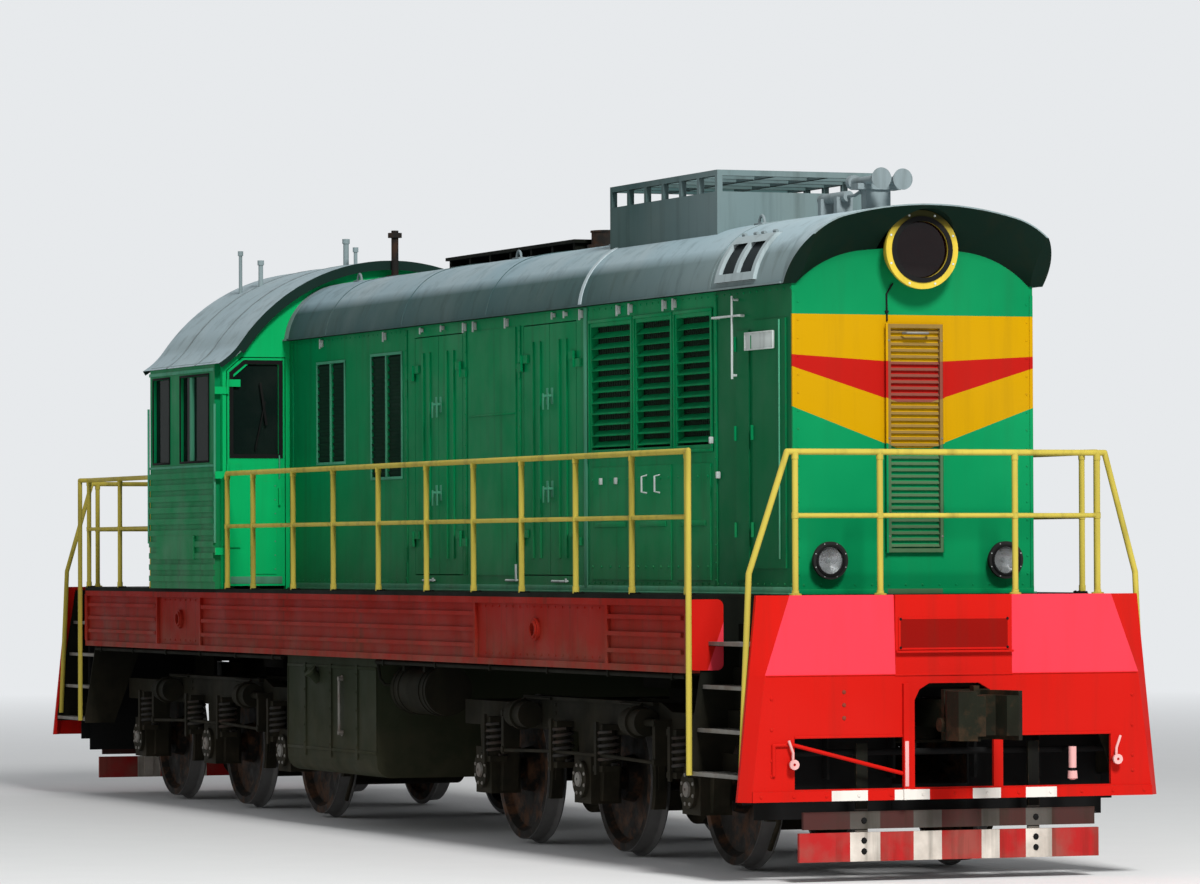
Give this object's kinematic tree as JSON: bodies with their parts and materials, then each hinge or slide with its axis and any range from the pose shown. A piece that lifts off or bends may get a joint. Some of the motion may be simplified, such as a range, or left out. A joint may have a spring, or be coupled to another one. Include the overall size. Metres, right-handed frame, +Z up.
{
  "type": "six-axle diesel shunting locomotive",
  "caption": "Hood-type diesel shunting locomotive on bogies, with a cab behind the long hood, walkway railings, automatic couplers and opening engine doors.",
  "frame": {"origin": "on the centreline, midway between the couplers, at the lowest point of the wheel flanges", "axes": "+X towards the long hood's end, +Y to the left, +Z up"},
  "size_m": [17.22, 3.072, 4.8499],
  "materials": {
    "hood_green": "gloss enamel, dusty",
    "roof_grey": "satin enamel, sun-bleached",
    "apron_red": "gloss enamel",
    "rail_yellow": "gloss enamel, chipped",
    "frame_black": "matt, oily",
    "wheel_steel": "dark, bright on the treads",
    "lamp_metal": "polished",
    "lamp_glass": "clear",
    "window_glass": "tinted",
    "desk_paint": "satin",
    "seat_vinyl": "worn",
    "engine_grey": "oily paint",
    "tank_grey": "dusty"
  },
  "bodies": {
    "root": {"air_reservoirs": "frame_black", "aprons": "apron_red", "cab_front_wall": "hood_green", "cab_rear_wall": "hood_green", "cab_roof": "roof_grey", "cab_seats": "frame_black", "cab_sides": "hood_green", "cab_windows": "window_glass", "control_desk": "desk_paint", "end_railings": "rail_yellow", "engine_block": "engine_grey", "exhaust_stack": "frame_black", "fan_shutter_frame": "roof_grey", "fuel_tank": "tank_grey", "hood_control_section": "hood_green", "hood_cooler_section": "hood_green", "hood_engine_section": "hood_green", "hood_front_section": "hood_green", "hood_roof_front": "roof_grey", "hood_roof_rear": "roof_grey", "horns": "roof_grey", "lamp_housings": "lamp_metal", "lamp_lenses": "lamp_glass", "main_frame": "frame_black", "radiator_shutters": "hood_green", "rail_guards": "apron_red", "rear_hood": "hood_green", "roof_walkway": "roof_grey", "seat_cushions": "seat_vinyl", "side_railings": "rail_yellow", "side_sills": "apron_red", "stairs": "frame_black"},
    "bogie_front": {"bogie_frame_front": "frame_black", "bogie_motors_front": "frame_black"},
    "coupler_front": {"coupler_front": "wheel_steel"},
    "bogie_rear": {"bogie_frame_rear": "frame_black", "bogie_motors_rear": "frame_black"},
    "coupler_rear": {"coupler_rear": "wheel_steel"},
    "wheelset_1": {"wheelset_1": "wheel_steel"},
    "wheelset_2": {"wheelset_2": "wheel_steel"},
    "wheelset_3": {"wheelset_3": "wheel_steel"},
    "wheelset_4": {"wheelset_4": "wheel_steel"},
    "wheelset_5": {"wheelset_5": "wheel_steel"},
    "wheelset_6": {"wheelset_6": "wheel_steel"},
    "cooling_fan": {"cooling_fan": "engine_grey"},
    "cab_door_front": {"cab_door_front": "hood_green", "door_pane_front": "window_glass"},
    "cab_door_rear": {"cab_door_rear": "hood_green", "door_pane_rear": "window_glass"},
    "engine_door_aft_1_right": {"engine_door_aft_1_right": "hood_green"},
    "engine_door_aft_1_left": {"engine_door_aft_1_left": "hood_green"},
    "engine_door_aft_2_right": {"engine_door_aft_2_right": "hood_green"},
    "engine_door_aft_2_left": {"engine_door_aft_2_left": "hood_green"},
    "engine_door_fore_1_right": {"engine_door_fore_1_right": "hood_green"},
    "engine_door_fore_1_left": {"engine_door_fore_1_left": "hood_green"},
    "engine_door_fore_2_right": {"engine_door_fore_2_right": "hood_green"},
    "engine_door_fore_2_left": {"engine_door_fore_2_left": "hood_green"}
  },
  "joints": [
    {"name": "bogie_front_swivel", "type": "hinge", "parent": "root", "child": "bogie_front", "pos_m": [4.33, 0, 1.19], "axis": [0, 0, 1], "range_deg": [-3, 3]},
    {"name": "coupler_front_swing", "type": "hinge", "parent": "root", "child": "coupler_front", "pos_m": [7.3, 0, 1.088], "axis": [0, 0, 1], "range_deg": [-6, 6]},
    {"name": "bogie_rear_swivel", "type": "hinge", "parent": "root", "child": "bogie_rear", "pos_m": [-4.33, 0, 1.19], "axis": [0, 0, 1], "range_deg": [-3, 3]},
    {"name": "coupler_rear_swing", "type": "hinge", "parent": "root", "child": "coupler_rear", "pos_m": [-7.3, 0, 1.088], "axis": [0, 0, 1], "range_deg": [-6, 6]},
    {"name": "wheelset_1_roll", "type": "hinge", "parent": "bogie_front", "child": "wheelset_1", "pos_m": [6.33, 0, 0.553], "axis": [0, 1, 0], "continuous": true},
    {"name": "wheelset_2_roll", "type": "hinge", "parent": "bogie_front", "child": "wheelset_2", "pos_m": [4.33, 0, 0.553], "axis": [0, 1, 0], "continuous": true},
    {"name": "wheelset_3_roll", "type": "hinge", "parent": "bogie_front", "child": "wheelset_3", "pos_m": [2.33, 0, 0.553], "axis": [0, 1, 0], "continuous": true},
    {"name": "wheelset_4_roll", "type": "hinge", "parent": "bogie_rear", "child": "wheelset_4", "pos_m": [-2.33, 0, 0.553], "axis": [0, 1, 0], "continuous": true},
    {"name": "wheelset_5_roll", "type": "hinge", "parent": "bogie_rear", "child": "wheelset_5", "pos_m": [-4.33, 0, 0.553], "axis": [0, 1, 0], "continuous": true},
    {"name": "wheelset_6_roll", "type": "hinge", "parent": "bogie_rear", "child": "wheelset_6", "pos_m": [-6.33, 0, 0.553], "axis": [0, 1, 0], "continuous": true},
    {"name": "cooling_fan_spin", "type": "hinge", "parent": "root", "child": "cooling_fan", "pos_m": [4.893, 0, 4.13], "axis": [0, 0, 1], "continuous": true},
    {"name": "cab_door_front_hinge", "type": "hinge", "parent": "root", "child": "cab_door_front", "pos_m": [-3.022, -1.425, 2.8], "axis": [0, 0, -1], "range_deg": [0, 90]},
    {"name": "cab_door_rear_hinge", "type": "hinge", "parent": "root", "child": "cab_door_rear", "pos_m": [-4.984, 1.425, 2.8], "axis": [0, 0, -1], "range_deg": [0, 90]},
    {"name": "engine_door_aft_1_right_hinge", "type": "hinge", "parent": "root", "child": "engine_door_aft_1_right", "pos_m": [0.048, -0.898, 2.91], "axis": [0, 0, -1], "range_deg": [0, 90]},
    {"name": "engine_door_aft_1_left_hinge", "type": "hinge", "parent": "root", "child": "engine_door_aft_1_left", "pos_m": [0.048, 0.898, 2.91], "axis": [0, 0, 1], "range_deg": [0, 90]},
    {"name": "engine_door_aft_2_right_hinge", "type": "hinge", "parent": "root", "child": "engine_door_aft_2_right", "pos_m": [1.106, -0.898, 2.91], "axis": [0, 0, 1], "range_deg": [0, 90]},
    {"name": "engine_door_aft_2_left_hinge", "type": "hinge", "parent": "root", "child": "engine_door_aft_2_left", "pos_m": [1.106, 0.898, 2.91], "axis": [0, 0, -1], "range_deg": [0, 90]},
    {"name": "engine_door_fore_1_right_hinge", "type": "hinge", "parent": "root", "child": "engine_door_fore_1_right", "pos_m": [2.428, -0.898, 2.91], "axis": [0, 0, -1], "range_deg": [0, 90]},
    {"name": "engine_door_fore_1_left_hinge", "type": "hinge", "parent": "root", "child": "engine_door_fore_1_left", "pos_m": [2.428, 0.898, 2.91], "axis": [0, 0, 1], "range_deg": [0, 90]},
    {"name": "engine_door_fore_2_right_hinge", "type": "hinge", "parent": "root", "child": "engine_door_fore_2_right", "pos_m": [3.486, -0.898, 2.91], "axis": [0, 0, 1], "range_deg": [0, 90]},
    {"name": "engine_door_fore_2_left_hinge", "type": "hinge", "parent": "root", "child": "engine_door_fore_2_left", "pos_m": [3.486, 0.898, 2.91], "axis": [0, 0, -1], "range_deg": [0, 90]}
  ]
}
